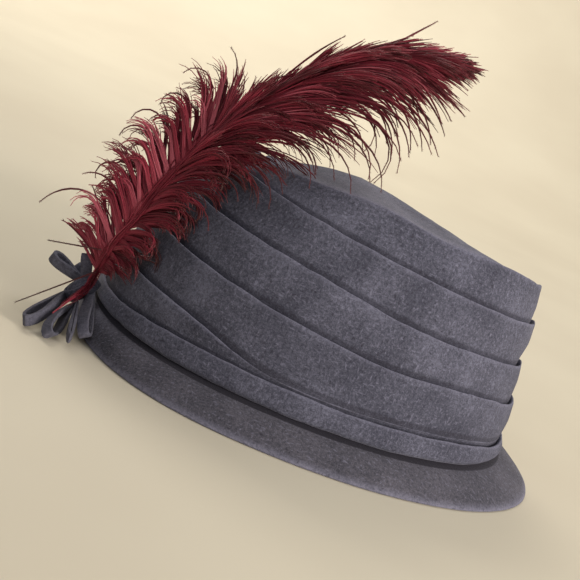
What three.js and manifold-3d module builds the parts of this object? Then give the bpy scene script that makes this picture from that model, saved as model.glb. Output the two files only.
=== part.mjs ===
// A small tucked felt hat with a narrow turned-down brim, a looped felt bow and an ostrich plume.
// Millimetres, +Z up. +X points to the front of the brim, and the hat rests on the brim's edge.
import * as THREE from "three";
import { mergeVertices } from "three/addons/utils/BufferGeometryUtils.js";
import Module from "manifold-3d";

// ---- driving dimensions ----------------------------------------------------------------------

const FELT = 2.4; // thickness of the felt
const FIT_GAP = 0.35; // clearance between pieces that are sewn together
const HEM = [[-1.6, 0], [-0.4, 1], [0.2, 2.4]]; // the crown's rounded lower edge: out and up
const ROUND_STEPS = 48; // facets round the head
const OVAL_POWER = 2.15; // 2 is an ellipse; a head is a little squarer
const EGG = -0.1; // the front of the head is narrower than the back
const SEAM_HEIGHT = 12; // where the crown meets the brim, above the brim's edge

// The brim from the seam to its edge. front, back and side are half sizes of the oval.
const BRIM_ROWS = [
  { front: 102.5, back: 102.5, side: 87, z: 12 },
  { front: 106.5, back: 103.9, side: 91.4, z: 10.2 },
  { front: 113, back: 105, side: 96.4, z: 6.9 },
  { front: 119, back: 105.9, side: 100.6, z: 3.2 },
  { front: 122.4, back: 106.2, side: 102.4, z: 0.9 },
];
const EDGE_ROUND = 0.9; // the cut edge is rounded off above its flat underside
const COLLAR = { height: 1.9, lean: 1.4, thick: 1.8 }; // the sewn margin, inside the crown

// The tucks, from the brim up. Each is a fold whose edge points up, and the next course of felt
// rises from behind it. front, back and side are the half sizes of the fold's edge. The heights
// are taken along the -Y side from front to back, at the shares in TUCK_SHARES. The folds come
// down towards the +Y side: fall is how far, as a share of the distance from the middle.
const TUCK_SHARES = [0, 0.12, 0.35, 0.55, 0.75, 1];
const TUCKS = [
  {
    front: 101.5, back: 101, side: 86, depth: 2.2, fall: 0.02,
    heights: [19.5, 22.5, 22.5, 23, 23, 18.6],
  },
  {
    front: 99.4, back: 98, side: 84, depth: 3, fall: 0.02,
    heights: [21.4, 24, 24, 24.4, 32.6, 37],
  },
  {
    front: 98.3, back: 90, side: 80.5, depth: 4, fall: 0.12,
    heights: [38.5, 44, 45, 48.5, 52.5, 57],
  },
  {
    front: 94.2, back: 82, side: 74, depth: 4, fall: 0.16,
    heights: [56, 59.8, 63.5, 68.4, 72, 75],
  },
  {
    front: 91.4, back: 69, side: 66.5, depth: 4, fall: 0.2,
    heights: [75.5, 78.8, 82.8, 86, 89.5, 92.5],
  },
  {
    front: 86.5, back: 57, side: 57, depth: 5, fall: 0.32,
    heights: [92, 97.2, 98.4, 102, 100.4, 96],
  },
];
const WEDGE = { tuck: 1, start: -10, end: -45, shut: 0.04 }; // it opens towards the back, from start
const LIP = { thick: 2, slit: 0.6 }; // the folded edge, and the pocket behind it
const BULGE = 0.7; // each course of felt is a little full between its folds
const TIP = { x: -10, z: 103, rings: [0.97, 0.82, 0.62, 0.38], flat: 0.95 }; // the low dome

// The bow: loops of narrow felt strip round a knot on the -Y side of the back. The knot is an egg
// that points along lie. Each loop leaves the knot at root, given as shares out from the crown,
// forward along it and up, and ends at tip. lift is its clearance, open is how wide the loop
// stands, and across is the way that the strip's width runs.
const KNOT = { turn: 204, z: 14, stand: 6.4, lie: [-0.61, -0.21, -0.76], half: [7.6, 4, 5] };
const STRIP = { width: 4.6, thick: 1.7, slit: 0.15 };
const LOOPS = [
  {
    name: "bow_loop_upper_left", root: [0.6, -0.5, 0.7], lift: 0.4,
    tip: [-118.6, -43, 22.6], open: 7.2, across: [0.34, -0.25, 0.91],
  },
  {
    name: "bow_loop_left", root: [0.8, -0.5, -0.8], lift: 1.1,
    tip: [-109.6, -84, 3.8], open: 8.6, across: [-0.35, -0.09, 0.93],
  },
  {
    name: "bow_loop_lower_left", root: [0.43, 0.24, -1], lift: 1.2,
    tip: [-98.9, -86, 3.2], open: 8.4, across: [0.74, -0.01, 0.68],
  },
  {
    name: "bow_loop_lower", root: [0.36, 0.74, -0.4], lift: 0.9,
    tip: [-90.4, -83, 4.1], open: 3.6, across: [-0.02, -0.22, 0.98],
  },
  {
    name: "bow_loop_lower_right", root: [-0.4, 0.9, 0.1], lift: 1.2,
    tip: [-86.7, -75, 5.1], open: 8.6, across: [0.82, 0.08, 0.56],
  },
  {
    name: "bow_loop_upper_right", root: [0.2, 0.3, 1], lift: 0.4,
    tip: [-103.6, -46, 30.2], open: 5.5, across: [0.95, 0.1, 0.3],
  },
  {
    name: "bow_loop_top", root: [0.2, -0.8, 0.7], lift: 0.4,
    tip: [-108.2, -37, 20.8], open: 4.4, across: [0.56, 0.04, 0.83],
  },
];

// The plume: a curved quill whose bare end passes the knot, and barbs in locks on both sides.
const QUILL_PATH = [
  [-100.5, -83, 11.5],
  [-98.5, -69, 15.5],
  [-98.3, -47.7, 17.1],
  [-95.3, -51.5, 28.9],
  [-92, -56, 43],
  [-87.5, -56, 55],
  [-81.5, -53, 76],
  [-74.5, -49, 94],
  [-60.5, -44, 117],
  [-42.5, -39, 138.5],
  [-25.4, -35.5, 153],
  [-10.4, -33, 160],
  [4.5, -31, 164.5],
];
const QUILL = { root: 1.4, end: 0.5, stations: 34, sides: 5 };
const BARBS = { start: 0.19, end: 0.99, face: [-0.35, -0.9, 0.25], stations: 6 };
const LOCKS = [
  { side: 1, count: 15, length: [22, 28, 17], angle: [58, 3], half: 3.4, droop: 0.1, push: 0 },
  { side: -1, count: 15, length: [17, 31, 29], angle: [52, 16], half: 3.4, droop: 0.42, push: 0.35 },
];

// ---- small tools -----------------------------------------------------------------------------

const wasm = await Module();
wasm.setup();

const degrees = THREE.MathUtils.degToRad;
const mix = THREE.MathUtils.lerp;
const ease = (u) => (1 - Math.cos(Math.PI * THREE.MathUtils.clamp(u, 0, 1))) / 2;
const signedPower = (v, power) => Math.sign(v) * Math.abs(v) ** power;

// The point of an oval at a turn about +Z, grown outwards by some millimetres.
function ovalPoint(row, turn, grow = 0) {
  const c = Math.cos(turn);
  const s = Math.sin(turn);
  const half = (c >= 0 ? row.front : row.back) + grow;
  return new THREE.Vector2(
    half * signedPower(c, 2 / OVAL_POWER),
    (row.side + grow) * (1 + EGG * c) * signedPower(s, 2 / OVAL_POWER),
  );
}

// A closed surface from one profile for each turn. A profile is a list of points, and each runs
// the same way round its section. Where they share their two end points, the surface is capped.
function sweepAround(profileAt, steps, joined) {
  const positions = [];
  const indices = [];
  const profiles = [];
  for (let i = 0; i < steps; i += 1) {
    profiles.push(profileAt((2 * Math.PI * i) / steps));
  }
  const count = profiles[0].length;
  for (const p of profiles.flat()) {
    positions.push(p.x, p.y, p.z);
  }
  const at = (i, j) => (i % steps) * count + (j % count);
  const last = joined ? count : count - 1;
  for (let i = 0; i < steps; i += 1) {
    for (let j = 0; j < last; j += 1) {
      const [a, b, c, d] = [at(i, j), at(i + 1, j), at(i + 1, j + 1), at(i, j + 1)];
      indices.push(a, c, b, a, d, c);
    }
  }
  const geometry = new THREE.BufferGeometry();
  geometry.setAttribute("position", new THREE.Float32BufferAttribute(positions, 3));
  geometry.setIndex(indices);
  return tidied(geometry);
}

// Merges shared corners and drops the triangles that closed up.
function tidied(geometry) {
  const merged = mergeVertices(geometry, 1e-4);
  const kept = [];
  const index = merged.index.array;
  for (let i = 0; i < index.length; i += 3) {
    const [a, b, c] = [index[i], index[i + 1], index[i + 2]];
    if (a !== b && b !== c && c !== a) {
      kept.push(a, b, c);
    }
  }
  merged.setIndex(kept);
  merged.computeVertexNormals();
  return merged;
}

function solidFrom(geometry) {
  const bare = new THREE.BufferGeometry();
  bare.setAttribute("position", geometry.getAttribute("position"));
  if (geometry.index) {
    bare.setIndex(geometry.index);
  }
  const merged = mergeVertices(bare, 1e-4);
  return new wasm.Manifold(
    new wasm.Mesh({
      numProp: 3,
      vertProperties: merged.getAttribute("position").array,
      triVerts: new Uint32Array(merged.index.array),
    }),
  );
}

function geometryFrom(solid) {
  const mesh = solid.getMesh();
  const geometry = new THREE.BufferGeometry();
  geometry.setAttribute("position", new THREE.BufferAttribute(mesh.vertProperties, 3));
  geometry.setIndex(new THREE.BufferAttribute(mesh.triVerts, 1));
  geometry.computeVertexNormals();
  return geometry;
}

// A tapering strip along a list of stations. Each station has a middle, a half width along
// `across` and a half thickness along `through`, and its section is a flat diamond or a ring.
function stripAlong(stations, sides) {
  const positions = [];
  const indices = [];
  stations.forEach((s) => {
    for (let k = 0; k < sides; k += 1) {
      const turn = (2 * Math.PI * k) / sides;
      const p = s.middle
        .clone()
        .addScaledVector(s.across, s.half * Math.cos(turn))
        .addScaledVector(s.through, s.deep * Math.sin(turn));
      positions.push(p.x, p.y, p.z);
    }
  });
  for (let i = 0; i + 1 < stations.length; i += 1) {
    for (let k = 0; k < sides; k += 1) {
      const a = i * sides + k;
      const b = i * sides + ((k + 1) % sides);
      indices.push(a, b, b + sides, a, b + sides, a + sides);
    }
  }
  const end = (stations.length - 1) * sides;
  for (let k = 1; k + 1 < sides; k += 1) {
    indices.push(0, k + 1, k);
    indices.push(end, end + k, end + k + 1);
  }
  const geometry = new THREE.BufferGeometry();
  geometry.setAttribute("position", new THREE.Float32BufferAttribute(positions, 3));
  geometry.setIndex(indices);
  return geometry;
}

// ---- crown -----------------------------------------------------------------------------------

// A smooth curve through the heights of a tuck.
function smoothAt(shares, values, share) {
  const slope = (k) => {
    const low = Math.max(0, k - 1);
    const high = Math.min(values.length - 1, k + 1);
    return (values[high] - values[low]) / (shares[high] - shares[low]);
  };
  let k = 0;
  while (k + 2 < shares.length && share > shares[k + 1]) {
    k += 1;
  }
  const width = shares[k + 1] - shares[k];
  const u = THREE.MathUtils.clamp((share - shares[k]) / width, 0, 1);
  const rise = values[k + 1] - values[k];
  const [m0, m1] = [slope(k) * width, slope(k + 1) * width];
  return values[k] + u * m0 + u * u * (3 * rise - 2 * m0 - m1) + u ** 3 * (m0 + m1 - 2 * rise);
}

// The height of a tuck's edge above the table, at a turn.
function tuckHeight(tuck, turn) {
  const { x, y } = ovalPoint(tuck, turn);
  const share = (tuck.front - x) / (tuck.front + tuck.back);
  return smoothAt(TUCK_SHARES, tuck.heights, share) - tuck.fall * Math.max(0, y);
}

// How open a tuck is at a turn: 1 for a full fold, and almost nothing where the wedge has closed.
function openness(tuck, turn) {
  if (tuck !== TUCKS[WEDGE.tuck]) {
    return 1;
  }
  const x = ovalPoint(tuck, turn).x;
  return WEDGE.shut + (1 - WEDGE.shut) * ease((WEDGE.start - x) / (WEDGE.start - WEDGE.end));
}

function crownProfile(turn) {
  const outer = [];
  const inner = [];
  const put = (list, row, grow, z) => {
    const p = ovalPoint(row, turn, grow);
    list.push(new THREE.Vector3(p.x, p.y, z));
  };
  const hem = BRIM_ROWS[0];
  const hemZ = SEAM_HEIGHT + FIT_GAP;
  put(outer, hem, -FELT, hemZ);
  HEM.forEach(([grow, up]) => put(outer, hem, grow, hemZ + up));
  let below = { row: hem, grow: HEM[2][0], z: hemZ + HEM[2][1] };
  for (const tuck of TUCKS) {
    const z = tuckHeight(tuck, turn);
    const open = openness(tuck, turn);
    const behind = (LIP.thick + LIP.slit) * open;
    const floor = z - tuck.depth * open;
    const span = z - open - below.z;
    const middle = between(below.row, tuck, 0.5);
    put(outer, middle, below.grow * 0.5 + BULGE * Math.min(1, span / 12), below.z + span / 2);
    put(outer, tuck, 0, z - open);
    put(outer, tuck, -0.35 * open, z - 0.2 * open);
    put(outer, tuck, -(LIP.thick - 0.5) * open, z);
    put(outer, tuck, -LIP.thick * open, floor);
    put(outer, tuck, -behind, floor);
    put(inner, tuck, -FELT, floor - 2);
    put(inner, tuck, -behind - FELT, floor + 1.2);
    below = { row: tuck, grow: -behind, z: z + 0.5 };
    if (tuck !== TUCKS[TUCKS.length - 1]) {
      put(outer, tuck, -behind, z + 0.5);
    }
  }
  const top = TUCKS[TUCKS.length - 1];
  const rim = ovalPoint(top, turn, below.grow);
  const rimZ = tuckHeight(top, turn) - 0.5;
  for (const list of [outer, inner]) {
    const under = list === inner ? FELT : 0;
    for (const share of TIP.rings) {
      const z = TIP.z - (TIP.z - rimZ) * ease(share / TIP.flat) - under;
      const reach = share * (1 - under / 50);
      list.push(new THREE.Vector3(mix(TIP.x, rim.x, reach), rim.y * reach, z));
    }
    list.push(new THREE.Vector3(TIP.x, 0, TIP.z - under));
  }
  return [...outer.reverse(), ...inner];
}

function between(a, b, share) {
  return {
    front: mix(a.front, b.front, share),
    back: mix(a.back, b.back, share),
    side: mix(a.side, b.side, share),
  };
}

// ---- brim ------------------------------------------------------------------------------------

function brimProfile(turn) {
  const points = [];
  const put = (row, grow, z) => {
    const p = ovalPoint(row, turn, grow);
    points.push(new THREE.Vector3(p.x, p.y, z));
  };
  const seam = BRIM_ROWS[0];
  const edge = BRIM_ROWS[BRIM_ROWS.length - 1];
  const collarOut = -FELT - FIT_GAP;
  const collarIn = collarOut - COLLAR.thick;
  put(seam, collarIn - COLLAR.lean, SEAM_HEIGHT + COLLAR.height);
  put(seam, collarOut - COLLAR.lean, SEAM_HEIGHT + COLLAR.height);
  put(seam, collarOut, SEAM_HEIGHT - 0.4);
  BRIM_ROWS.slice(1).forEach((row) => put(row, 0, row.z));
  put(edge, -EDGE_ROUND * 0.6, 0);
  put(edge, -EDGE_ROUND * 0.6 - FELT, 0);
  put(BRIM_ROWS[3], -FELT * 0.95, 1.6);
  put(BRIM_ROWS[2], -FELT * 0.9, 4.9);
  put(BRIM_ROWS[1], -FELT * 0.9, 8);
  put(seam, collarIn, SEAM_HEIGHT - 2.2);
  return points;
}

// ---- bow -------------------------------------------------------------------------------------

// The frame of the bow on the crown: out from the felt, and along it.
function knotFrame() {
  const turn = degrees(KNOT.turn);
  const row = BRIM_ROWS[0];
  const here = ovalPoint(row, turn);
  const ahead = ovalPoint(row, turn + 0.02);
  const along = new THREE.Vector3(ahead.x - here.x, ahead.y - here.y, 0).normalize();
  const out = new THREE.Vector3(along.y, -along.x, 0);
  const middle = new THREE.Vector3(here.x, here.y, KNOT.z).addScaledVector(out, KNOT.stand);
  return { out, along, middle };
}

// The knot's own directions: along its length, across the strip that wraps it, and outwards.
function knotAxes({ out }) {
  const lie = new THREE.Vector3(...KNOT.lie).normalize();
  const wrap = lie.clone().cross(out).normalize();
  return [lie, wrap, lie.clone().cross(wrap)];
}

function knotGeometry(bow) {
  const geometry = new THREE.IcosahedronGeometry(1, 3);
  const [lie, wrap, deep] = knotAxes(bow);
  const [longHalf, wrapHalf, deepHalf] = KNOT.half;
  const turned = new THREE.Matrix4().makeBasis(
    lie.multiplyScalar(longHalf),
    wrap.multiplyScalar(wrapHalf),
    deep.multiplyScalar(deepHalf),
  );
  turned.setPosition(bow.middle);
  geometry.deleteAttribute("normal");
  geometry.deleteAttribute("uv");
  return tidied(geometry.applyMatrix4(turned));
}

// One loop: a drop-shaped band, cut from a thick slab, with its narrow end at the knot. Where the
// drop is too narrow for a hole, the strip's two halves lie against each other with a slit.
function loopGeometry(loop, bow) {
  const [shareOut, shareAlong, shareUp] = loop.root;
  const root = bow.out.clone().multiplyScalar(shareOut).addScaledVector(bow.along, shareAlong);
  root.z += shareUp;
  const shares = knotAxes(bow).map((axis, k) => root.dot(axis) / KNOT.half[k]);
  root.multiplyScalar(1 / Math.hypot(...shares) + loop.lift / root.length()).add(bow.middle);
  const reach = new THREE.Vector3(...loop.tip).sub(root);
  const ray = reach.clone().normalize();
  const length = reach.length();
  const drop = (grow) => {
    const points = [];
    for (let k = 0; k < 20; k += 1) {
      const turn = (2 * Math.PI * k) / 20;
      const share = (1 - Math.cos(turn)) / 2;
      const rise = Math.abs(Math.sin(turn));
      const half = loop.open * 0.62 * rise * (0.12 + 0.88 * share);
      const kept = grow ? Math.max(STRIP.slit * rise, half - grow * rise) : half;
      const x = share * length + grow * Math.cos(turn);
      points.push(new THREE.Vector2(x, kept * Math.sign(Math.sin(turn))));
    }
    return points;
  };
  const shape = new THREE.Shape(drop(0));
  shape.holes.push(new THREE.Path(drop(STRIP.thick).reverse()));
  const geometry = new THREE.ExtrudeGeometry(shape, { depth: STRIP.width, bevelEnabled: false });
  geometry.translate(0, 0, -STRIP.width / 2);
  const side = new THREE.Vector3(...loop.across).cross(ray).normalize();
  const face = ray.clone().cross(side);
  const turned = new THREE.Matrix4().makeBasis(ray, side, face).setPosition(root);
  geometry.deleteAttribute("normal");
  geometry.deleteAttribute("uv");
  return tidied(geometry.applyMatrix4(turned));
}

// ---- plume -----------------------------------------------------------------------------------

function plumeGeometry() {
  const path = new THREE.CatmullRomCurve3(QUILL_PATH.map((p) => new THREE.Vector3(...p)));
  const face = new THREE.Vector3(...BARBS.face).normalize();
  const frameAt = (share) => {
    const tangent = path.getTangentAt(share);
    const left = face.clone().cross(tangent).normalize();
    return { middle: path.getPointAt(share), tangent, left, out: tangent.clone().cross(left) };
  };
  const quill = [];
  for (let k = 0; k < QUILL.stations; k += 1) {
    const share = k / (QUILL.stations - 1);
    const { middle, left, out } = frameAt(share);
    const radius = mix(QUILL.root, QUILL.end, share);
    quill.push({ middle, across: left, through: out, half: radius, deep: radius });
  }
  const solids = [solidFrom(stripAlong(quill, QUILL.sides))];
  for (const lock of LOCKS) {
    for (let k = 0; k < lock.count; k += 1) {
      const share = (k + 0.5) / lock.count;
      solids.push(lockSolid(lock, share, frameAt(mix(BARBS.start, BARBS.end, share))));
    }
  }
  return tidied(geometryFrom(wasm.Manifold.union(solids)));
}

// A lock of barbs: a flat leaf that leaves the quill at a slant, curls over and hangs a little.
function lockSolid(lock, share, { middle, tangent, left, out }) {
  const angle = degrees(mix(lock.angle[0], lock.angle[1], share));
  const [low, mid, high] = lock.length;
  const length = share < 0.5 ? mix(low, mid, share * 2) : mix(mid, high, share * 2 - 1);
  const sideways = left.clone().multiplyScalar(lock.side);
  const ahead = tangent.clone().multiplyScalar(Math.cos(angle));
  ahead.addScaledVector(sideways, Math.sin(angle));
  const stations = [];
  for (let i = 0; i < BARBS.stations; i += 1) {
    const u = i / (BARBS.stations - 1);
    const spot = middle.clone().addScaledVector(ahead, length * u);
    spot.addScaledVector(sideways, length * 0.22 * u * u);
    spot.addScaledVector(out, length * lock.push * u);
    spot.z -= length * lock.droop * u * u;
    const across = out.clone().cross(sideways).normalize();
    const half = lock.half * Math.sin(Math.PI * (0.16 + 0.76 * u)) ** 0.8;
    stations.push({ middle: spot, across, through: out, half, deep: mix(0.8, 0.45, u) });
  }
  return solidFrom(stripAlong(stations, 4));
}

// ---- assembly --------------------------------------------------------------------------------

const felt = (name) =>
  new THREE.MeshStandardMaterial({ name, color: 0x55515a, roughness: 0.95, metalness: 0 });
const feather = new THREE.MeshStandardMaterial({ name: "plume", color: 0x5a1722, roughness: 0.8 });

function piece(name, geometry, material) {
  const mesh = new THREE.Mesh(geometry, material);
  mesh.name = name;
  return mesh;
}

const hat = new THREE.Group();
const bow = knotFrame();
hat.add(piece("brim", sweepAround(brimProfile, ROUND_STEPS, true), felt("brim felt")));
hat.add(piece("crown", sweepAround(crownProfile, ROUND_STEPS, false), felt("crown felt")));
hat.add(piece("bow_knot", knotGeometry(bow), felt("bow felt")));
for (const loop of LOOPS) {
  hat.add(piece(loop.name, loopGeometry(loop, bow), felt("bow felt")));
}
hat.add(piece("plume", plumeGeometry(), feather));

// The origin is on the table, under the middle of the whole.
const bounds = new THREE.Box3().setFromObject(hat);
const centre = bounds.getCenter(new THREE.Vector3());
for (const mesh of hat.children) {
  mesh.geometry.translate(-centre.x, -centre.y, -bounds.min.z);
}

export default hat;
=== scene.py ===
import math
import random

import bmesh
import bpy
from mathutils import Matrix, Vector
from mathutils.bvhtree import BVHTree


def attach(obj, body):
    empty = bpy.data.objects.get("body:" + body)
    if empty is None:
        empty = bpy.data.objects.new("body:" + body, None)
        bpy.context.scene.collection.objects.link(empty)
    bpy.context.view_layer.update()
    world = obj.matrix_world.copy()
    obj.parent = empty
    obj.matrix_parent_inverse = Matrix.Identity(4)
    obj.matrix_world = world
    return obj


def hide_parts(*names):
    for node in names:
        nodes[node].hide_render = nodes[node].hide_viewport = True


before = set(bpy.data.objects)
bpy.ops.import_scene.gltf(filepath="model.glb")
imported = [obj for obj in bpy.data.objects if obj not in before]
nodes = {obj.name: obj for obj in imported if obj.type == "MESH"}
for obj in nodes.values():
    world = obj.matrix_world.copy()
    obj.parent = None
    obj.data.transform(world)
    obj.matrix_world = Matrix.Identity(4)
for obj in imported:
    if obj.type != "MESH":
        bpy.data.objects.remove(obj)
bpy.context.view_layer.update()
mm = 0.001
print("frame loaded:", len(nodes), "nodes")

bpy.context.scene.view_settings.view_transform = "Standard"

camera = {
    "lens": 73.2,  # mm
    "sensor": 36,  # mm
    "distance": 560,  # mm
    "elevation": 15.9,  # degrees
    "roll": 24.0,  # degrees; the hat sits tilted in the view
    "aim": (-1.6, 0, 12),  # mm, the middle of the seam between crown and brim
    "shift": (-0.0188, 0.1226),
    "clipEnd": 20,  # m
}


def makeCamera():
    data = bpy.data.cameras.new("viewCamera")
    data.lens = camera["lens"]
    data.sensor_width = camera["sensor"]
    data.shift_x, data.shift_y = camera["shift"]
    data.dof.use_dof = False
    data.clip_end = camera["clipEnd"]
    rise, roll = math.radians(camera["elevation"]), math.radians(camera["roll"])
    back = Vector((0, -math.cos(rise), math.sin(rise)))
    level = Vector((1, 0, 0))
    upright = back.cross(level)
    right = level * math.cos(roll) + upright * math.sin(roll)
    up = upright * math.cos(roll) - level * math.sin(roll)
    place = Vector(camera["aim"]) * mm + back * (camera["distance"] * mm)
    holder = bpy.data.objects.new("viewCamera", data)
    bpy.context.scene.collection.objects.link(holder)
    holder.matrix_world = Matrix(
        [(right[k], up[k], back[k], place[k]) for k in range(3)] + [(0, 0, 0, 1)]
    )
    bpy.context.scene.camera = holder


makeCamera()


def linear(hexColor):
    # an sRGB hex value as linear red, green and blue, with a full alpha
    parts = [int(hexColor[k : k + 2], 16) / 255 for k in (1, 3, 5)]
    return [p / 12.92 if p <= 0.04045 else ((p + 0.055) / 1.055) ** 2.4 for p in parts] + [1]


def selectOnly(*objs):
    bpy.ops.object.select_all(action="DESELECT")
    for o in objs:
        o.select_set(True)
    bpy.context.view_layer.objects.active = objs[0]


def applyModifiers(o):
    selectOnly(o)
    for modifier in list(o.modifiers):
        bpy.ops.object.modifier_apply(modifier=modifier.name)


def addNode(tree, kind, settings=None, stops=(), **links):
    # stops: a ramp's places, each with a hex colour or a plain share of white
    # links: an input's name or _number, given a value, an output, or a node for its first output
    node = tree.nodes.new(kind)
    for key, value in (settings or {}).items():
        setattr(node, key, value)
    if stops:
        elements = node.color_ramp.elements
        while len(elements) < len(stops):
            elements.new(0.5)
        for element, (place, color) in zip(elements, stops):
            element.position = place
            element.color = linear(color) if isinstance(color, str) else (color, color, color, 1)
    for key, value in links.items():
        socket = node.inputs[int(key[1:]) if key[1:].isdigit() else key.replace("_", " ")]
        if isinstance(value, bpy.types.Node):
            value = value.outputs[0]
        if isinstance(value, bpy.types.NodeSocket):
            tree.links.new(value, socket)
        else:
            socket.default_value = value
    return node


def newMaterial(name):
    material = bpy.data.materials.new(name)
    material.use_nodes = True
    tree = material.node_tree
    tree.nodes.clear()
    return material, tree


woolFelt = {
    "dark": "#373845",
    "mid": "#4a4b59",
    "light": "#616273",
    "fibre": "#8b8ba2",
    "mottle": 22,  # mm, slow drift in the dye
    "grain": 1.25,  # mm, the nap of the brushed wool
    "finer": 2.1,  # how many times finer the second grain is
    "mix": (0.3, 0.42, 0.28),  # how much mottle, grain and finer grain move the tone
    "spread": (0.4, 0.5, 0.6),  # where in that mix the dark, mid and light tones stand
    "fleck": 1.8,  # mm, length of a pale fibre end; real ones are finer, this is as fine as shows
    "fleckCount": 1.7,  # how close the fibre ends lie, to their length
    "fleckWays": [((0.6, 0.5, 0.3), (1, 1, 0.34)), ((0.2, 0.9, 1.2), (0.34, 1, 1))],  # turn, squeeze
    "fleckStops": [(0.6, 0.0), (0.76, 0.38)],
    "pitStops": [(0.26, 0.5), (0.4, 0.0)],  # dark specks between the fibres
    "bump": 0.6,
    "napHeight": 0.5,  # mm
    "wear": 0.8,  # how strongly a highlight is painted on the lips of the folds
    "pocket": "#211f28",  # painted shade inside a fold
    "crease": 0.5,  # how much of that painted shade shows beside the fold
    "creaseFrom": 0.84,
    "roughness": 0.95,
    "specular": 0.15,
    "sheen": 0.25,
    "sheenRoughness": 0.5,
    "sheenTint": "#b4b4c4",
}


def makeFelt(name, look):
    # brushed wool felt, blocked and cut: matt, with a short nap and pale fibre ends, a painted highlight
    # on the lips of the folds and painted shade in and beside their pockets
    material, tree = newMaterial(name)
    multiply, addTo, larger = [{"operation": o} for o in ("MULTIPLY", "MULTIPLY_ADD", "MAXIMUM")]
    where = addNode(tree, "ShaderNodeTexCoord").outputs["Object"]
    noises = []
    for size, detail, rough in (
        (look["mottle"], 3, 0.5), (look["grain"], 4, 0.75), (look["grain"] / look["finer"], 2, 0.6)
    ):
        scale = 1 / (size * mm)
        noises.append(addNode(
            tree, "ShaderNodeTexNoise", Vector=where, Scale=scale, Detail=detail, Roughness=rough
        ))
    slow, medium, fine = noises
    mixed = addNode(tree, "ShaderNodeMath", multiply, _0=slow, _1=look["mix"][0])
    mixed = addNode(tree, "ShaderNodeMath", addTo, _0=medium, _1=look["mix"][1], _2=mixed)
    mixed = addNode(tree, "ShaderNodeMath", addTo, _0=fine, _1=look["mix"][2], _2=mixed)
    tones = list(zip(look["spread"], (look["dark"], look["mid"], look["light"])))
    cloth = addNode(tree, "ShaderNodeValToRGB", stops=tones, Fac=mixed)
    flecks, pits = [], []
    for turn, squeeze in look["fleckWays"]:
        laid = addNode(tree, "ShaderNodeMapping", Vector=where, Rotation=turn, Scale=squeeze)
        scale = look["fleckCount"] / (look["fleck"] * mm)
        noise = addNode(tree, "ShaderNodeTexNoise", Vector=laid, Scale=scale, Detail=2)
        flecks.append(addNode(tree, "ShaderNodeValToRGB", stops=look["fleckStops"], Fac=noise))
        pits.append(addNode(tree, "ShaderNodeValToRGB", stops=look["pitStops"], Fac=noise))
    # a painted highlight on the lips of the folds, broken up by the grain
    crest = addNode(tree, "ShaderNodeAttribute", {"attribute_name": "crest"}).outputs["Fac"]
    lipHighlight = addNode(tree, "ShaderNodeMath", multiply, _0=crest, _1=look["wear"])
    worn = addNode(tree, "ShaderNodeMath", multiply, _0=lipHighlight, _1=medium)
    fibres = addNode(tree, "ShaderNodeMath", larger, _0=flecks[0], _1=flecks[1])
    pale = addNode(tree, "ShaderNodeMath", larger, _0=fibres, _1=worn)
    rgba = {"data_type": "RGBA"}
    color = addNode(tree, "ShaderNodeMix", rgba, _0=pale, _6=cloth, _7=linear(look["fibre"])).outputs[2]
    # painted shade in and beside the pockets of the folds, and in the brim's seam
    crease = addNode(tree, "ShaderNodeAttribute", {"attribute_name": "crease"}).outputs["Fac"]
    creaseShadeStops = [(look["creaseFrom"], 0.0), (1.0, look["crease"])]
    deep = addNode(tree, "ShaderNodeValToRGB", stops=creaseShadeStops, Fac=crease)
    hollows = addNode(tree, "ShaderNodeMath", larger, _0=pits[0], _1=pits[1])
    # the painted shade, together with the dark specks between the fibres
    shadeAndPits = addNode(tree, "ShaderNodeMath", larger, _0=deep, _1=hollows)
    shaded = addNode(tree, "ShaderNodeMix", rgba, _0=shadeAndPits, _6=color, _7=linear(look["pocket"]))
    height = addNode(tree, "ShaderNodeMath", addTo, _0=fine, _1=0.5, _2=medium)
    bump = addNode(
        tree, "ShaderNodeBump", Strength=look["bump"], Distance=look["napHeight"] * mm, Height=height
    )
    shader = addNode(
        tree, "ShaderNodeBsdfPrincipled", Base_Color=shaded.outputs[2], Normal=bump,
        Roughness=look["roughness"], Specular_IOR_Level=look["specular"], Sheen_Weight=look["sheen"],
        Sheen_Roughness=look["sheenRoughness"], Sheen_Tint=linear(look["sheenTint"]),
    )
    addNode(tree, "ShaderNodeOutputMaterial", Surface=shader)
    return material


feltMaterial = makeFelt("brushedWoolFelt", woolFelt)
# the brim is a little browner, and has a painted shadow in the seam under the crown's edge
brimFelts = {"dark": "#393942", "mid": "#4b4a54", "light": "#5d5b66", "sheen": 0.18, "crease": 0.95}
brimMaterial = makeFelt("brushedWoolFeltBrim", {**woolFelt, **brimFelts})
# the cut strips are the same felt in a deeper tone, as painted shade, with a weaker painted highlight on
# their lips
shadedStripFelts = {"dark": "#232328", "mid": "#303035", "light": "#404046", "sheen": 0.12, "wear": 0.5}
shadedStripMaterial = makeFelt("cutWoolFeltStrip", {**woolFelt, **shadedStripFelts})

dyedBarb = {
    "shade": "#3c0a13",
    "deep": "#641828",
    "wine": "#8f2c3e",
    "rose": "#b65c6b",
    "places": (0.0, 0.3, 0.75, 1.0),  # the tones of these four
    "brown": "#3d241f",  # the worn tips
    "tipStops": [(0.74, 0.0), (1.0, 0.55)],  # how brown, at shares of a barb's length
    "roughness": 0.5,
    "specular": 0.3,
    "sheen": 0.15,
    "sheenRoughness": 0.4,
    "sheenTint": "#c87a86",
}


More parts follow.
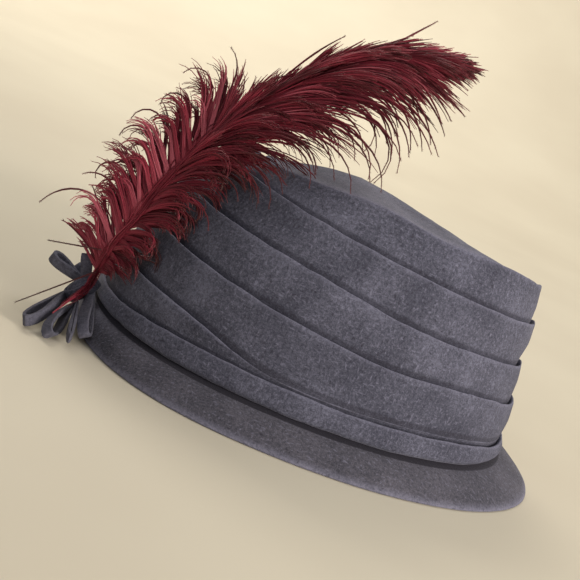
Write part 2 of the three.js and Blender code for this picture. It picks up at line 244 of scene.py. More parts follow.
def makePlumeMaterial(name, look):
    # dyed ostrich barbs: keratin with a soft sheen, paler where the dye is thin, brown at worn tips
    material, tree = newMaterial(name)
    along = addNode(tree, "ShaderNodeAttribute", {"attribute_name": "along"}).outputs["Fac"]
    tone = addNode(tree, "ShaderNodeAttribute", {"attribute_name": "tone"}).outputs["Fac"]
    dyeStops = list(zip(look["places"], (look["shade"], look["deep"], look["wine"], look["rose"])))
    dye = addNode(tree, "ShaderNodeValToRGB", stops=dyeStops, Fac=tone)
    worn = addNode(tree, "ShaderNodeValToRGB", stops=look["tipStops"], Fac=along)
    color = addNode(
        tree, "ShaderNodeMix", {"data_type": "RGBA"}, _0=worn, _6=dye, _7=linear(look["brown"])
    )
    shader = addNode(
        tree, "ShaderNodeBsdfPrincipled", Base_Color=color.outputs[2], Roughness=look["roughness"],
        Specular_IOR_Level=look["specular"], Sheen_Weight=look["sheen"],
        Sheen_Roughness=look["sheenRoughness"], Sheen_Tint=linear(look["sheenTint"]),
    )
    addNode(tree, "ShaderNodeOutputMaterial", Surface=shader)
    return material


plumeMaterial = makePlumeMaterial("dyedOstrichBarb", dyedBarb)
print("materials made")

feltBody = {
    "weld": 0.01,  # mm
    "subdivision": 2,
    "wander": 1.0,  # mm, how far hand-blocked felt strays from true; the brim does half of it
    "wanderSize": 34,  # mm
    "crestFrom": 25,  # degrees, how sharp an edge starts to show wear
    "crestTo": 65,
    "pocketFrom": 40,  # degrees, how sharp an inner corner is a pocket
    "ripple": 0.8,  # mm, the unevenness of edges that were folded by hand
    "rippleSize": 9,  # mm
    "seamFrom": 10.8,  # mm, the height on the brim where the painted shadow of its seam starts
    "seamDark": 1.9,  # how far the painted seam shadow reaches out, where 1 is just the seam itself
}


def markFolds(mesh, seamFrom):
    # crest is 1 on sharp outer edges such as the lip of a fold, where a highlight is painted; the painted
    # shade is 1 in and beside its pocket, or where seamFrom is given, only at the seam above that height,
    # where the seam's shadow is painted
    low, high = feltBody["crestFrom"], feltBody["crestTo"]
    form = bmesh.new()
    form.from_mesh(mesh)
    form.normal_update()
    turns = [[math.degrees(edge.calc_face_angle_signed(0)) for edge in v.link_edges] for v in form.verts]
    crests = [min(max((max(turn) - low) / (high - low), 0), 1) for turn in turns]
    pockets = [min(turn) < -feltBody["pocketFrom"] for turn in turns]
    creaseShades = []
    for vertex, crest in zip(form.verts, crests):
        near = [pockets[edge.other_vert(vertex).index] for edge in vertex.link_edges]
        inFold = (any(near) or pockets[vertex.index]) and crest < 0.5
        # the painted shadow of the seam
        inSeam = feltBody["seamDark"] * (vertex.co.z > seamFrom * mm)
        creaseShades.append(inSeam if seamFrom else float(inFold))
    form.free()
    for key, values in (("crest", crests), ("crease", creaseShades)):
        mesh.attributes.new(key, "FLOAT", "POINT").data.foreach_set("value", values)


def feltCopy(name, nodeName, material, levels, wander=0, ripple=0, seamFrom=0):
    # a merged copy of the solid, smoothed so that its folds read as bent felt
    copy = nodes[nodeName].copy()
    copy.data = nodes[nodeName].data.copy()
    copy.name = copy.data.name = name
    for key in list(copy.keys()):
        del copy[key]
    copy.parent = None
    bpy.context.scene.collection.objects.link(copy)
    selectOnly(copy)
    bpy.ops.object.mode_set(mode="EDIT")
    bpy.ops.mesh.select_all(action="SELECT")
    bpy.ops.mesh.remove_doubles(threshold=feltBody["weld"] * mm)
    bpy.ops.mesh.tris_convert_to_quads(face_threshold=1.0, shape_threshold=1.6)
    bpy.ops.object.mode_set(mode="OBJECT")
    copy.data.materials.clear()
    copy.data.materials.append(material)
    markFolds(copy.data, seamFrom)
    if levels:
        rounding = copy.modifiers.new("rounding", "SUBSURF")
        rounding.levels = rounding.render_levels = levels
    for label, strength in (("wander", wander), ("ripple", ripple)):
        if strength:
            cloud = bpy.data.textures.new(name + label.capitalize(), "CLOUDS")
            cloud.noise_scale = feltBody[label + "Size"] * mm
            drift = copy.modifiers.new(label, "DISPLACE")
            drift.texture = cloud
            drift.texture_coords = "LOCAL"
            drift.strength = strength * mm
    applyModifiers(copy)
    bpy.ops.object.shade_smooth()
    return copy


def finishPiece(o, slotName, *replaced):
    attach(o, "root")
    if replaced:
        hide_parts(*replaced)


rounds, wander = feltBody["subdivision"], feltBody["wander"]
crownFelt = feltCopy("crownFelt", "crown", feltMaterial, rounds, wander, feltBody["ripple"])
brimFelt = feltCopy("brimFelt", "brim", brimMaterial, rounds, wander / 2, 0, feltBody["seamFrom"])
finishPiece(crownFelt, "felt", "crown")
finishPiece(brimFelt, "felt", "brim")
print("crown and brim shaped")

bowLoops = {
    "softEdge": 0.35,  # mm
    "edgeAngle": 50,  # degrees, what counts as a cut edge
    "smoothAngle": 40,
}


def softenEdges(o, width, angle):
    # rounds the cut edges of felt
    softening = o.modifiers.new("softening", "BEVEL")
    softening.width = width * mm
    softening.segments = 2
    softening.limit_method = "ANGLE"
    softening.angle_limit = math.radians(angle)
    applyModifiers(o)


for loopName in sorted(name for name in nodes if name.startswith("bow_loop")):
    words = loopName.split("_")
    strip = feltCopy("strip" + "".join(w.capitalize() for w in words[1:]), loopName, shadedStripMaterial, 0)
    softenEdges(strip, bowLoops["softEdge"], bowLoops["edgeAngle"])
    bpy.ops.object.shade_smooth_by_angle(angle=math.radians(bowLoops["smoothAngle"]))
    finishPiece(strip, "bow_felt", loopName)

knot = {
    "middle": (-102.1, -44.4, 14.7),  # mm
    "along": (-0.612, -0.211, -0.762),  # its long way
    "across": (0.665, 0.385, -0.64),  # the way the strip's width runs
    "half": (7.9, 4.6),  # mm, half its length and half its depth
    "strip": (5.8, 1.4),  # mm, the width and the thickness of the felt that wraps it
    "core": (7.6, 4.1, 4.6),  # mm, half sizes of the gathered felt inside
    "gathers": (9, 0.13),  # how many folds run along the gathered felt, and how deep they are
    "wrapFaces": 40,  # round the wrap
    "coreFaces": (72, 28),  # round and along the core
    "softEdge": 0.4,  # mm
    "edgeAngle": 60,  # degrees
    "smoothAngle": 50,
}


def placeOnKnot(o):
    # turns a piece made at the origin to the knot's own directions and sets it there
    along = Vector(knot["along"]).normalized()
    across = Vector(knot["across"])
    across = (across - along * across.dot(along)).normalized()
    outward = across.cross(along)
    place = Vector(knot["middle"]) * mm
    o.matrix_world = Matrix(
        [(along[k], outward[k], across[k], place[k]) for k in range(3)] + [(0, 0, 0, 1)]
    )
    selectOnly(o)
    bpy.ops.object.transform_apply(location=True, rotation=True, scale=True)


def makeKnot():
    # a strip of felt wrapped once over the gathered ends of the loops
    bpy.ops.object.select_all(action="DESELECT")
    bpy.ops.mesh.primitive_cylinder_add(
        vertices=knot["wrapFaces"], radius=1, depth=knot["strip"][0] * mm, end_fill_type="NOTHING"
    )
    wrap = bpy.context.view_layer.objects.active
    wrap.name = wrap.data.name = "knotWrap"
    wrap.scale = (knot["half"][0] * mm, knot["half"][1] * mm, 1)
    bpy.ops.object.transform_apply(location=False, rotation=False, scale=True)
    bpy.ops.object.mode_set(mode="EDIT")
    bpy.ops.mesh.select_all(action="SELECT")
    bpy.ops.mesh.subdivide(number_cuts=2)
    bpy.ops.object.mode_set(mode="OBJECT")
    wall = wrap.modifiers.new("wall", "SOLIDIFY")
    wall.thickness = knot["strip"][1] * mm
    wall.offset = -1
    softenEdges(wrap, knot["softEdge"], knot["edgeAngle"])
    bpy.ops.object.select_all(action="DESELECT")
    segments, rings = knot["coreFaces"]
    bpy.ops.mesh.primitive_uv_sphere_add(segments=segments, ring_count=rings, radius=1)
    core = bpy.context.view_layer.objects.active
    core.name = core.data.name = "knotGather"
    count, deep = knot["gathers"]
    for vertex in core.data.vertices:
        turn = math.atan2(vertex.co.z, vertex.co.y)
        pinch = 1 - deep * (0.5 + 0.5 * math.cos(count * turn)) * (1 - vertex.co.x ** 2)
        vertex.co.y *= pinch
        vertex.co.z *= pinch
    core.scale = [h * mm for h in knot["core"]]
    bpy.ops.object.transform_apply(location=False, rotation=False, scale=True)
    for piece in (wrap, core):
        piece.data.materials.append(feltMaterial)
        placeOnKnot(piece)
        bpy.ops.object.shade_smooth_by_angle(angle=math.radians(knot["smoothAngle"]))
        finishPiece(piece, "bow_felt", "bow_knot")


makeKnot()
print("bow shaped")

plume = {
    # the quill's route, in mm, from its bare end to the plume's tip
    "route": [
        (-102, -83, 11.5), (-100, -69, 15.5), (-99.8, -47.7, 17.1), (-96.8, -51.5, 28.9), (-93.5, -56, 43),
        (-89, -56, 55), (-83, -53, 76), (-76, -49, 94), (-62, -44, 117), (-44, -39, 138.5),
        (-27, -35.5, 153), (-12, -33, 160), (3, -31, 164.5),
    ],
    "quillSteps": 160,
    "quillRadii": [(0, 0.3), (0.1, 0.6), (0.2, 0.9), (0.3, 1.1), (1, 0.3)],  # mm, at shares of its length
    "quillTone": 0.45,
    "face": (-0.35, -0.9, 0.25),  # the way the plume's flat side looks
    "barbsFrom": 0.2,  # the quill is bare up to here
    "follow": 0.9,  # how much a barb bends along with the quill
    "hookFrom": 0.55,  # the share of its length from which a barb hooks
    "locks": 80,  # on each side, in each layer
    "barbsInLock": 10,
    # each layer's lean, length, angle added and tone added; the tone added is painted shade on the back
    # layers and painted light on the front ones
    "layers": [(-0.2, 1.0, 0, -0.22), (0.05, 0.97, -4, -0.08), (0.25, 0.9, 4, 0.08)],
    "coverLayer": (0.3, 1, 0, 0.12),
    "barbRadii": [(0, 0.26), (0.5, 0.27), (0.85, 0.22), (1, 0.1)],  # mm
    "points": 14,  # along each barb
    "splitFrom": 0.35,  # the share of its length from which a lock draws together
    "splay": 0.035,  # how far the barbs of a lock part, to its length
    "clear": 0.45,  # mm, how far the barbs stay off the felt
    # how much the locks differ: shares, degrees, then the lean and the wave
    "lengthSpread": (0.66, 1.16),
    "angleSpread": 10,
    "bendSpread": 12,
    "hookSpread": (0.3, 1.6),
    "leanSpread": 0.14,
    "waveSpread": 6,
    "dyeSpread": (0.25, 0.65),
    "barbToneSpread": 0.1,
    "barbLengthSpread": (0.7, 1),
    "wearSpread": (0.9, 1.05),  # how brown a lock's tips are
    "leftFresher": (0.1, 0.6),  # how much less so on the left, near the root
    "clumpSpread": (0.6, 1),  # how closely the barbs of a lock hold together
    "rightLooser": 0.2,
    "calmFrom": 0.6,  # past this share of the plume the locks lie smooth
    "calmest": 0.7,
    "leftPaler": 0.3,
    "rightDarker": 0.12,
    "streaky": 1.7,  # how much more the locks differ in tone towards the tip
    "tipDarker": 0.62,  # how fast the locks darken past the middle
    "barbules": 8,  # on each barb
    "barbulesCover": 7,
    "barbuleReach": 1.1,  # mm
    "barbuleLean": 0.75,  # how far it turns away from its barb
    "barbuleBase": (0.1, 0.08),  # mm, half its length and half its width where it grows
    "barbulesOver": 0.75,  # the share of a barb that carries them, from its tip
    "seed": 41,
    # share of the barbed quill; length in mm; angle from the quill, bend, and hook at the tip in degrees
    "leftLocks": [
        (0.0, 22, 56, 12, 60),
        (0.05, 31, 54, 14, 100),
        (0.15, 36, 50, 8, 118),
        (0.22, 36, 47, 6, 105),
        (0.3, 35, 45, 8, 95),
        (0.38, 40, 42, 5, 105),
        (0.42, 37, 34, 2, 50),
        (0.46, 28, 20, -2, 20),
        (0.52, 28, 12, -4, 10),
        (0.6, 34, 8, -5, 2),
        (0.7, 39, 6, -6, 0),
        (0.85, 32, 6, -5, 0),
        (1.0, 14, 6, -4, 0),
    ],
    "rightLocks": [
        (0.0, 12, 34, 30, 40),
        (0.05, 19, 52, 30, 55),
        (0.13, 27, 38, 52, 70),
        (0.2, 32, 34, 44, 70),
        (0.28, 41, 28, 27, 66),
        (0.35, 50, 25, 24, 58),
        (0.45, 58, 22, 19, 40),
        (0.6, 57, 17, 12, 20),
        (0.75, 50, 13, 11, 16),
        (0.9, 32, 10, 9, 14),
        (1.0, 15, 8, 8, 10),
    ],
    # barbs that cross over the quill from its left side and hide it
    "coverLocks": [
        (0.3, 24, 8, -8, 10),
        (0.45, 40, 4, 0, 8),
        (0.7, 46, 5, 4, 6),
        (0.9, 32, 6, 4, 4),
        (1.0, 15, 5, 4, 4),
    ],
}


def blendTable(rows, share):
    # straight lines between the rows of a table whose first column is the share
    for low, high in zip(rows, rows[1:]):
        if share <= high[0]:
            u = min(max((share - low[0]) / (high[0] - low[0]), 0), 1)
            return [a + (b - a) * u for a, b in zip(low[1:], high[1:])]
    return list(rows[-1][1:])


def alongRadii(rows, count):
    # a radius for each of count evenly spaced points
    return [blendTable(rows, k / (count - 1))[0] for k in range(count)]


def smoothRoute(points, count, fineness=24):
    # evenly spaced points on a smooth line through the given ones
    points = [Vector(p) for p in points]
    line = []
    for k in range(len(points) - 1):
        before, start = points[max(k - 1, 0)], points[k]
        end, after = points[k + 1], points[min(k + 2, len(points) - 1)]
        for i in range(fineness):
            t = i / fineness
            slope = (end - before) * t
            curl = (2 * before - 5 * start + 4 * end - after) * t * t
            twist = (3 * start - before - 3 * end + after) * t ** 3
            line.append(0.5 * (2 * start + slope + curl + twist))
    line.append(points[-1])
    lengths = [0]
    for a, b in zip(line, line[1:]):
        lengths.append(lengths[-1] + (b - a).length)
    even, k = [], 0
    for i in range(count):
        want = lengths[-1] * i / (count - 1)
        while k + 2 < len(line) and lengths[k + 1] < want:
            k += 1
        share = (want - lengths[k]) / max(lengths[k + 1] - lengths[k], 1e-9)
        even.append(line[k].lerp(line[k + 1], min(share, 1)))
    return even


quillLine = smoothRoute(plume["route"], plume["quillSteps"] + 1)
quillLength = sum((b - a).length for a, b in zip(quillLine, quillLine[1:]))


def quillFrame(share):
    # the place, the way ahead, the way to the left barbs and the way out of the flat; the way ahead is
    # taken over a few steps, so that the barbs turn evenly
    place = share * (len(quillLine) - 1)
    k = min(int(place), len(quillLine) - 2)
    spot = quillLine[k].lerp(quillLine[k + 1], place - k)
    ahead = (quillLine[min(k + 4, len(quillLine) - 1)] - quillLine[max(k - 3, 0)]).normalized()
    left = Vector(plume["face"]).normalized().cross(ahead).normalized()
    return spot, ahead, left, ahead.cross(left)


def strandMesh(name, strands, sides):
    # one curve with a spline for each strand, turned into a mesh that knows its own shares and tones
    curve = bpy.data.curves.new(name, "CURVE")
    curve.dimensions = "3D"
    curve.bevel_depth = 1 * mm
    curve.bevel_resolution = (sides - 4) // 2
    for line, radii, _, _ in strands:
        spline = curve.splines.new("POLY")
        spline.points.add(len(line) - 1)
        spline.points.foreach_set("co", [v for p in line for v in (p[0] * mm, p[1] * mm, p[2] * mm, 1)])
        spline.points.foreach_set("radius", radii)
    holder = bpy.data.objects.new(name, curve)
    bpy.context.scene.collection.objects.link(holder)
    selectOnly(holder)
    bpy.ops.object.convert(target="MESH")
    holder = bpy.context.view_layer.objects.active
    holder.name = name
    around = len(holder.data.vertices) // sum(len(strand[0]) for strand in strands)
    along, tones = [], []
    for line, _, tone, wear in strands:
        for k in range(len(line)):
            along += [wear * k / (len(line) - 1)] * around
            tones += [tone] * around
    setStrandColors(holder.data, along, tones)
    selectOnly(holder)
    bpy.ops.object.mode_set(mode="EDIT")
    bpy.ops.mesh.select_all(action="SELECT")
    bpy.ops.mesh.fill_holes(sides=sides)
    bpy.ops.mesh.normals_make_consistent(inside=False)
    bpy.ops.object.mode_set(mode="OBJECT")
    bpy.ops.object.shade_smooth()
    return holder


def setStrandColors(mesh, along, tones):
    for key, values in (("along", along), ("tone", tones)):
        mesh.attributes.new(key, "FLOAT", "POINT").data.foreach_set("value", values)
    mesh.materials.clear()
    mesh.materials.append(plumeMaterial)


crownShell = BVHTree.FromObject(crownFelt, bpy.context.evaluated_depsgraph_get())


def clearOfCrown(point, gap):
    # moves a point that is in or too near the felt out to its surface
    spot, normal, _, distance = crownShell.find_nearest(point * mm, 20 * mm)
    if spot is None:  # far from the crown
        return point
    spot = spot / mm
    if (point - spot).dot(normal) < 0 or distance / mm < gap:
        return spot + normal * gap
    return point


def barbLine(share, side, length, angle, bend, hook, lean, wave=0, phase=0):
    root = plume["barbsFrom"] + (1 - plume["barbsFrom"]) * share
    spot = quillFrame(root)[0]
    step = length / (plume["points"] - 1)
    line = [spot.copy()]
    for k in range(1, plume["points"]):
        u = k / (plume["points"] - 1)
        reached = root + plume["follow"] * u * length * math.cos(math.radians(angle)) / quillLength
        _, ahead, left, out = quillFrame(min(reached, 1))
        curl = hook * max(0, (u - plume["hookFrom"]) / (1 - plume["hookFrom"])) ** 1.4
        turn = math.radians(angle + bend * u ** 1.2 + curl + wave * math.sin(phase + 6 * u))
        way = ahead * math.cos(turn) + left * side * math.sin(turn) + out * lean * (1 - 0.5 * u)
        spot = spot + way.normalized() * step
        line.append(spot)
    return line


def growLocks(table, side, layer, seed):
    lean, longer, wider, layerShade = layer
    dice = random.Random(seed)
    strands = []
    first = table[0][0]
    locks = round(plume["locks"] * (1 - first))
    for lock in range(locks):
        share = first + (1 - first) * (lock + dice.uniform(0.1, 0.9)) / locks
        length, angle, bend, hook = blendTable(table, share)
        calm = 1 - plume["calmest"] * min(share / plume["calmFrom"], 1)
        length *= dice.uniform(*plume["lengthSpread"]) * longer
        guide = barbLine(
            share, side, length,
            angle + wider * calm + dice.gauss(0, plume["angleSpread"]) * calm,
            bend + dice.gauss(0, plume["bendSpread"]) * calm,
            hook * dice.uniform(*plume["hookSpread"]),
            lean + dice.gauss(0, plume["leanSpread"]),
            dice.gauss(0, plume["waveSpread"]) * calm,
            dice.uniform(0, 6.3),
        )
        dyed = dice.uniform(*plume["dyeSpread"])
        lockTone = dyed + plume["streaky"] * (dyed - 0.4) * share
        # the layer's tone added: painted shade at the back of the plume, painted light at its front
        lockTone += calm * (plume["leftPaler"] if side > 0 else -plume["rightDarker"]) + layerShade
        lockTone -= plume["tipDarker"] * max(0, share - 0.55)
        wear = dice.uniform(*plume["wearSpread"])
        wear -= dice.uniform(*plume["leftFresher"]) * calm * (side > 0)
        clump = dice.uniform(*plume["clumpSpread"]) - plume["rightLooser"] * (side < 0)
        for barb in range(plume["barbsInLock"]):
            away = (barb + dice.random()) / plume["barbsInLock"] - 0.5
            own = plume["barbsFrom"] + (1 - plume["barbsFrom"]) * min(max(share + away / locks, 0), 1)
            offset = quillFrame(own)[0] - guide[0]
            splay = Vector((dice.gauss(0, 1), dice.gauss(0, 0.6), dice.gauss(0, 1)))
            splay *= length * plume["splay"]
            shorter = dice.uniform(*plume["barbLengthSpread"])
            line = []
            for k in range(len(guide)):
                u = k / (len(guide) - 1)
                place = u * shorter * (len(guide) - 1)
                low = min(int(place), len(guide) - 2)
                spot = guide[low].lerp(guide[low + 1], place - low)
                drawn = max(0, (u - plume["splitFrom"]) / (1 - plume["splitFrom"]))
                spot = spot + offset * (1 - clump * math.sin(drawn * math.pi / 2)) + splay * u ** 2
                line.append(clearOfCrown(spot, plume["clear"]) if k > 1 else spot)
            radii = alongRadii(plume["barbRadii"], len(line))
            tone = min(max(lockTone + dice.gauss(0, plume["barbToneSpread"]), 0), 1)
            strands.append((line, radii, tone, wear))
    return strands


def growBarbules(name, strands, perBarb, reach, seed):
    # fine hooks along each barb, each a thin closed spike with four faces
    dice = random.Random(seed)
    vertices, faces, along, tones = [], [], [], []
    long, broad = plume["barbuleBase"]
    for line, _, tone, wear in strands:
        for _ in range(perBarb):
            u = 1 - plume["barbulesOver"] * dice.random() ** 1.5
            place = u * (len(line) - 1)
            k = min(int(place), len(line) - 2)
            spot = line[k].lerp(line[k + 1], place - k)
            ahead = (line[k + 1] - line[k]).normalized()
            anyWay = Vector((dice.gauss(0, 1), dice.gauss(0, 1), dice.gauss(0, 1)))
            across = ahead.cross(anyWay).normalized()
            third = ahead.cross(across)
            way = (ahead + across * plume["barbuleLean"]).normalized()
            tip = spot + way * reach * dice.uniform(0.5, 1.2)
            base, front, wide = len(vertices), ahead * long, third * broad
            corners = (spot - front, spot + front + wide, spot + front - wide, tip)
            vertices += [corner * mm for corner in corners]
            for face in ((0, 1, 2), (0, 3, 1), (1, 3, 2), (2, 3, 0)):
                faces.append([base + corner for corner in face])
            along += [wear * u] * 4
            tones += [tone] * 4
    data = bpy.data.meshes.new(name)
    data.from_pydata(vertices, [], faces)
    holder = bpy.data.objects.new(name, data)
    bpy.context.scene.collection.objects.link(holder)
    setStrandColors(data, along, tones)
    selectOnly(holder)
    bpy.ops.object.mode_set(mode="EDIT")
    bpy.ops.mesh.select_all(action="SELECT")
    bpy.ops.mesh.normals_make_consistent(inside=False)
    bpy.ops.object.mode_set(mode="OBJECT")
    return holder


quillRadii = alongRadii(plume["quillRadii"], len(quillLine))
quillStem = strandMesh("quillStem", [(quillLine, quillRadii, plume["quillTone"], 0)], 8)
finishPiece(quillStem, "plume", "plume")
reach = plume["barbuleReach"]
for side, table, label in ((1, plume["leftLocks"], "Left"), (-1, plume["rightLocks"], "Right")):
    for number, layer in enumerate(plume["layers"], 1):
        seed = plume["seed"] + number * 7 + side
        strands = growLocks(table, side, layer, seed)
        name = f"{label}{number}"
        finishPiece(strandMesh("barbs" + name, strands, 4), "plume")
        barbules = growBarbules("barbules" + name, strands, plume["barbules"], reach, seed + 3)
        finishPiece(barbules, "plume")
cover = growLocks(plume["coverLocks"], -1, plume["coverLayer"], plume["seed"])
finishPiece(strandMesh("barbsCover", cover, 4), "plume")
barbules = growBarbules("barbulesCover", cover, plume["barbulesCover"], reach, plume["seed"] + 2)
finishPiece(barbules, "plume")

looseBarbs = {
    # side, share, length, angle, bend, hook, and how far out of the flat each one leans
    "strays": [
        (1, 0.03, 24, 80, 8, 0, 0.1), (1, 0.02, 27, 66, 8, 0, 0.2),
        (1, 0.06, 30, 48, 22, 0, 0.2), (1, 0.1, 50, 44, 126, 0, 0.15), (1, 0.13, 36, 34, 60, 40, 0.3),
        (1, 0.18, 40, 46, 40, 130, 0.1), (1, 0.25, 42, 44, 40, 120, 0.1), (1, 0.3, 42, 46, 50, 110, 0.1),
        (1, 0.34, 42, 40, 30, 150, 0.1), (1, 0.39, 44, 42, 10, 130, 0.1), (1, 0.43, 40, 40, 0, 70, 0.1),
        (1, 0.55, 46, 12, -4, 0, 0.2), (1, 0.62, 46, 13, -6, 0, 0.1), (1, 0.68, 50, 11, -6, 0, 0.1),
        (1, 0.83, 31, 26, 12, 0, 0.1),
        (-1, 0.16, 32, 40, 50, 50, 0.3), (-1, 0.22, 41, 38, 40, 40, 0.3), (-1, 0.27, 47, 36, 38, 40, 0.35),
        (-1, 0.31, 53, 34, 38, 36, 0.35), (-1, 0.34, 59, 32, 38, 38, 0.3), (-1, 0.38, 66, 30, 36, 42, 0.3),
        (-1, 0.42, 72, 29, 34, 42, 0.3), (-1, 0.46, 77, 29, 32, 42, 0.3), (-1, 0.5, 80, 29, 30, 40, 0.2),
        (-1, 0.54, 77, 31, 30, 36, 0.2), (-1, 0.57, 74, 32, 28, 30, 0.2), (-1, 0.6, 78, 36, 34, 70, 0.2),
        (-1, 0.63, 72, 36, 28, 26, 0.2), (-1, 0.67, 68, 38, 26, 20, 0.2), (-1, 0.7, 58, 36, 26, 22, 0.1),
        (-1, 0.75, 60, 34, 26, 16, 0.1), (-1, 0.8, 50, 32, 24, 16, 0.1), (-1, 0.86, 42, 30, 20, 12, 0.1),
    ],
    "copies": 3,  # of each one on the right
    "copyStep": 0.012,  # the share of the quill between them
    "copyShorter": 0.3,
    "angleSpread": 5,
    "bendSpread": 8,
    "clear": 0.5,  # mm, how far they stay off the felt
    "radii": [(0, 0.3), (0.7, 0.44), (1, 0.16)],  # mm
    "tone": (0.2, 0.5),
    "wear": 1.3,  # over 1, a barb is brown well before its tip
    "hairWear": 0.3,
    "shaftWear": 4,
    "hairPoints": 12,
    # short barbs laid back along the bare quill, from one share of it to another
    "rootHairs": 34,
    "rootFrom": (0.19, 0.27),
    "rootTo": (0.03, 0.14),
    "rootAside": 1.1,  # mm
    "rootRadii": [(0, 0.3), (1, 0.08)],
    "rootTone": (0.1, 0.6),
    # barbs laid forward along the quill, over the side that shows
    "quillHairs": 70,
    "hairFrom": (0.18, 0.62),
    "hairReach": (0.08, 0.17),  # the share of the quill that one covers
    "hairAside": 1.6,  # mm
    "hairLift": (0.9, 2),  # mm
    "hairRadii": [(0, 0.3), (1, 0.135)],
    "hairTone": (0.3, 0.85),
    # barbs that are worn down to a brown shaft, from end to end in mm
    "bareShafts": [((-97, -53, 26.8), (-123.2, -62, 2)), ((-98, -56, 37), (-120.1, -58, 31.9))],
    "shaftPoints": 10,
    "shaftRadii": [(0, 0.4), (1, 0.22)],
    "barbules": 90,  # on each
    "barbuleReach": 1.2,  # mm
    "seed": 8,
}


def evenShares(count):
    return [k / (count - 1) for k in range(count)]


def growLoose(look):
    dice = random.Random(look["seed"])
    strands = []
    for side, share, length, angle, bend, hook, lean in look["strays"]:
        for copy in range(look["copies"] if side < 0 else 1):
            shorter = 1 - dice.uniform(0, look["copyShorter"]) * (copy > 0)
            guide = barbLine(
                share + look["copyStep"] * copy, side, length * shorter,
                angle + dice.gauss(0, look["angleSpread"]), bend + dice.gauss(0, look["bendSpread"]),
                hook, lean,
            )
            line = [clearOfCrown(spot, look["clear"]) for spot in guide]
            radii = alongRadii(look["radii"], len(line))
            strands.append((line, radii, dice.uniform(*look["tone"]), look["wear"]))
    shares = evenShares(look["hairPoints"])
    radii = alongRadii(look["rootRadii"], len(shares))
    for _ in range(look["rootHairs"]):
        fromShare, toShare = dice.uniform(*look["rootFrom"]), dice.uniform(*look["rootTo"])
        aside = Vector([dice.gauss(0, look["rootAside"]) for _ in range(3)])
        line = []
        for u in shares:
            spot = quillFrame(fromShare + (toShare - fromShare) * u)[0]
            line.append(spot + aside * math.sin(math.pi * (0.15 + 0.6 * u)))
        strands.append((line, radii, dice.uniform(*look["rootTone"]), look["hairWear"]))
    for start, end in look["bareShafts"]:
        line = [Vector(start).lerp(Vector(end), u) for u in evenShares(look["shaftPoints"])]
        strands.append((line, alongRadii(look["shaftRadii"], len(line)), 0, look["shaftWear"]))
    radii = alongRadii(look["hairRadii"], len(shares))
    for _ in range(look["quillHairs"]):
        fromShare, reach = dice.uniform(*look["hairFrom"]), dice.uniform(*look["hairReach"])
        aside, lift = dice.gauss(0, look["hairAside"]), dice.uniform(*look["hairLift"])
        line = []
        for u in shares:
            spot, _, left, out = quillFrame(fromShare + reach * u)
            line.append(spot + (left * aside + out * lift) * math.sin(math.pi * (0.1 + 0.8 * u)))
        strands.append((line, radii, dice.uniform(*look["hairTone"]), look["hairWear"]))
    return strands


loose = growLoose(looseBarbs)
finishPiece(strandMesh("strayBarbs", loose, 4), "plume")
barbules = growBarbules("strayBarbules", loose, looseBarbs["barbules"], looseBarbs["barbuleReach"], 5)
finishPiece(barbules, "plume")
print("plume grown")

studio = {
    "floor": "#d1cab9",
    "floorCloud": "#cac2b1",
    "cloudScale": 4,  # clouds of the floor's tone to the metre
    "world": "#efe9dc",
    "worldStrength": 0.38,
    "width": 8,  # m
    "sweepFrom": 0.9,  # m behind the hat, where the floor starts to curve up
    "sweepRadius": 1.6,  # m
    "sweepSteps": 24,
    "wallHeight": 3,  # m, above the curve
    # name, place and aim in m, size in m, power in W, colour
    "lamps": [
        ("keyLamp", (1.3, -0.75, 0.4), (0, 0, 0.06), 0.7, 27, "#fff6ea"),
        ("fillLamp", (-0.3, -1.2, 0.7), (0, 0, 0.06), 0.9, 2, "#eef1ff"),
        ("topLamp", (0.2, 0.4, 1.3), (0, 0, 0.05), 0.8, 3.5, "#ffffff"),
        ("backdropLamp", (-0.8, 1.2, 1.6), (-0.5, 2.0, 0), 1.2, 34, "#fff8ec"),
    ],
}


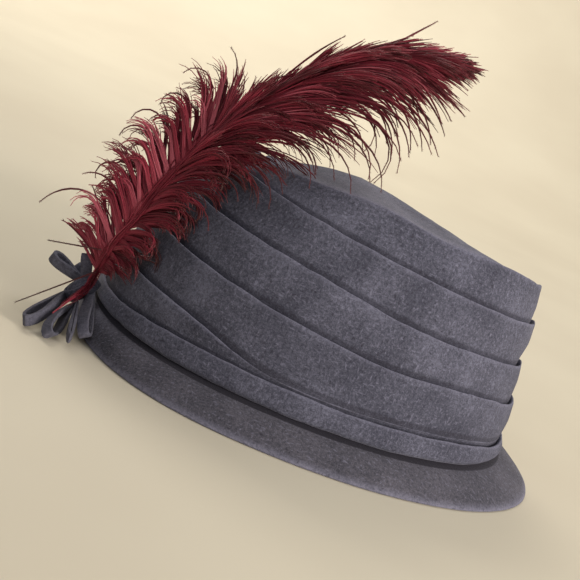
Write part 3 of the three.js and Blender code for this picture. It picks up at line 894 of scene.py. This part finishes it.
def makeStudio():
    bpy.ops.object.select_all(action="DESELECT")
    middle = studio["sweepFrom"] - studio["width"] / 2
    bpy.ops.mesh.primitive_plane_add(size=studio["width"], location=(0, middle, 0))
    floor = bpy.context.view_layer.objects.active
    floor.name = "paleFloor"
    bpy.ops.object.transform_apply(location=True, rotation=True, scale=True)
    material, tree = newMaterial("paintedStudioFloor")
    where = addNode(tree, "ShaderNodeTexCoord").outputs["Object"]
    cloud = addNode(tree, "ShaderNodeTexNoise", Vector=where, Scale=studio["cloudScale"], Detail=3)
    floorStops = [(0.35, studio["floorCloud"]), (0.65, studio["floor"])]
    color = addNode(tree, "ShaderNodeValToRGB", stops=floorStops, Fac=cloud)
    shader = addNode(tree, "ShaderNodeBsdfPrincipled", Base_Color=color, Roughness=0.9)
    addNode(tree, "ShaderNodeOutputMaterial", Surface=shader)
    floor.data.materials.append(material)
    atBack = [vertex.co.y > studio["sweepFrom"] - 0.01 for vertex in floor.data.vertices]
    for vertex, picked in zip(floor.data.vertices, atBack):
        vertex.select = picked
    for edge in floor.data.edges:
        edge.select = all(atBack[v] for v in edge.vertices)
    for face in floor.data.polygons:
        face.select = False
    bpy.ops.object.mode_set(mode="EDIT")
    bpy.ops.mesh.select_mode(type="EDGE")
    radius, steps, spot = studio["sweepRadius"], studio["sweepSteps"], Vector((0, 0))
    for k in range(1, steps + 1):
        turn = math.pi / 2 * k / steps
        there = Vector((radius * math.sin(turn), radius * (1 - math.cos(turn))))
        move = there - spot
        bpy.ops.mesh.extrude_edges_move(TRANSFORM_OT_translate={"value": (0, move.x, move.y)})
        spot = there
    bpy.ops.mesh.extrude_edges_move(TRANSFORM_OT_translate={"value": (0, 0, studio["wallHeight"])})
    bpy.ops.object.mode_set(mode="OBJECT")
    bpy.ops.object.shade_smooth()
    world = bpy.data.worlds.new("softStudio")
    bpy.context.scene.world = world
    world.use_nodes = True
    background = world.node_tree.nodes["Background"]
    background.inputs[0].default_value = linear(studio["world"])
    background.inputs[1].default_value = studio["worldStrength"]


def addLamp(name, place, aim, size, power, color):
    data = bpy.data.lights.new(name, "AREA")
    data.shape = "DISK"
    data.size = size
    data.energy = power
    data.color = linear(color)[:3]
    holder = bpy.data.objects.new(name, data)
    bpy.context.scene.collection.objects.link(holder)
    holder.location = place
    holder.rotation_euler = (Vector(aim) - Vector(place)).to_track_quat("-Z", "Y").to_euler()


makeStudio()
for lamp in studio["lamps"]:
    addLamp(*lamp)
print("studio lit")
